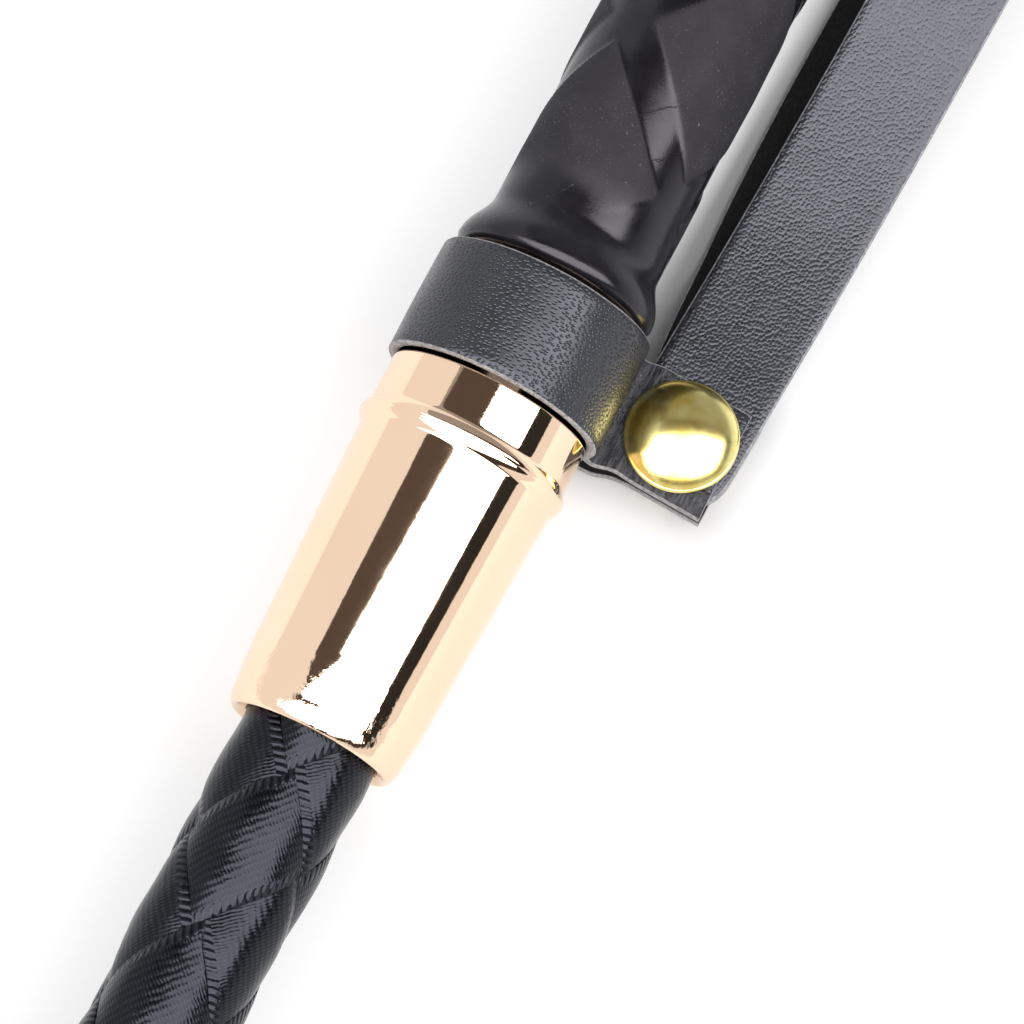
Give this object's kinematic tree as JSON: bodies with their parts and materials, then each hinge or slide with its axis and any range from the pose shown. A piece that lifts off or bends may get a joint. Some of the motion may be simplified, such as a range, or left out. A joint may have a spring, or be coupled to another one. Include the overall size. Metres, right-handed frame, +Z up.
{
  "type": "riding crop",
  "caption": "Slim riding crop: braided tapered shaft, plated ferrule, rubber grip with butt cap, folded leather keeper, and a leather wrist loop riveted into a neck band.",
  "frame": {"origin": "centre of the butt cap's flat end face, on the crop's axis", "axes": "+X along the crop's axis and out of the butt, +Z up, and the wrist loop lies on the -Y side. The crop lies on the plane z = -9.85 mm."},
  "size_m": [0.612, 0.046, 0.0219],
  "materials": {
    "rod_fibreglass": "pultruded fibreglass",
    "padding_foam": "wound padding",
    "satin_ribbon": "woven satin ribbon",
    "binding_thread": "waxed thread",
    "rose_plating": "polished rose-gold plating",
    "core_wood": "bare beech",
    "grip_rubber": "moulded, matte lozenges between smooth channels",
    "plug_nylon": "moulded",
    "black_leather": "fine pebbled grain",
    "rivet_brass": "polished"
  },
  "bodies": {
    "crop": {"core_rod": "rod_fibreglass", "shaft_padding": "padding_foam", "braided_cover": "satin_ribbon", "cover_whipping": "binding_thread", "ferrule": "rose_plating", "grip_core": "core_wood", "rubber_grip": "grip_rubber", "butt_plug": "plug_nylon", "butt_cap": "rose_plating", "tip_ferrule": "rose_plating", "keeper_binding": "binding_thread", "keeper_tail_upper": "black_leather", "keeper_tail_lower": "black_leather"},
    "band": {"neck_band": "black_leather", "rivet_cap": "rivet_brass", "rivet_base": "rivet_brass"},
    "strap_root": {"strap_end_upper": "black_leather", "strap_end_lower": "black_leather"},
    "wrist_loop": {"wrist_loop_upper": "black_leather", "wrist_loop_lower": "black_leather", "wrist_loop_bend": "black_leather"},
    "keeper": {"keeper_leaf": "black_leather"}
  },
  "joints": [
    {"name": "band_turn", "type": "hinge", "parent": "crop", "child": "band", "pos_m": [-0.16575, 0, 0], "axis": [1, 0, 0], "continuous": true},
    {"name": "loop_swivel", "type": "hinge", "parent": "band", "child": "strap_root", "pos_m": [-0.16525, -0.0153, -0.006], "axis": [0, 0, -1], "range_deg": [0, 120]},
    {"name": "loop_lift", "type": "hinge", "parent": "strap_root", "child": "wrist_loop", "pos_m": [-0.15726, -0.01575, -0.0056], "axis": [-0.0558, -0.9984, 0], "range_deg": [0, 90]},
    {"name": "keeper_flex", "type": "hinge", "parent": "crop", "child": "keeper", "pos_m": [-0.538, 0, 0], "axis": [0, 1, 0], "range_deg": [-50, 50], "stiffness_Nm_per_rad": 0.12}
  ]
}
